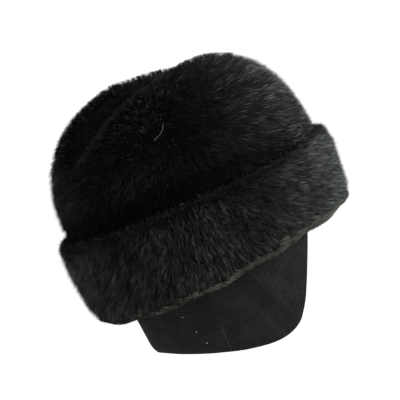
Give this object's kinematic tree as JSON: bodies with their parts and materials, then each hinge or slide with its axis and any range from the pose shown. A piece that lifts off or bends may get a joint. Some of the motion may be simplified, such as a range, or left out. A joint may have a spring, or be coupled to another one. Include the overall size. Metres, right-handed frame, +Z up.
{
  "type": "fur hat with a knitted ear flap band",
  "caption": "Rounded short-pile fur hat with a creased crown, a deep turned-up cuff and a ribbed knit ear and nape band below the rim.",
  "frame": {"origin": "centre of the head opening, in the plane of the rim, where the head meets the hat", "axes": "+Z up out of the crown, square to the rim; the front faces -Y and the wearer's left is +X"},
  "size_m": [0.2273, 0.2734, 0.2523],
  "materials": {
    "crown_fur": "black short-pile fur, soft sheen, combed back and down",
    "cuff_fur": "black short-pile fur, slightly greyer and glossier than the crown",
    "rib_knit": "fine black rib knit, matt"
  },
  "bodies": {
    "root": {"crown": "crown_fur", "cuff": "cuff_fur", "earflap_band": "rib_knit"}
  },
  "joints": []
}
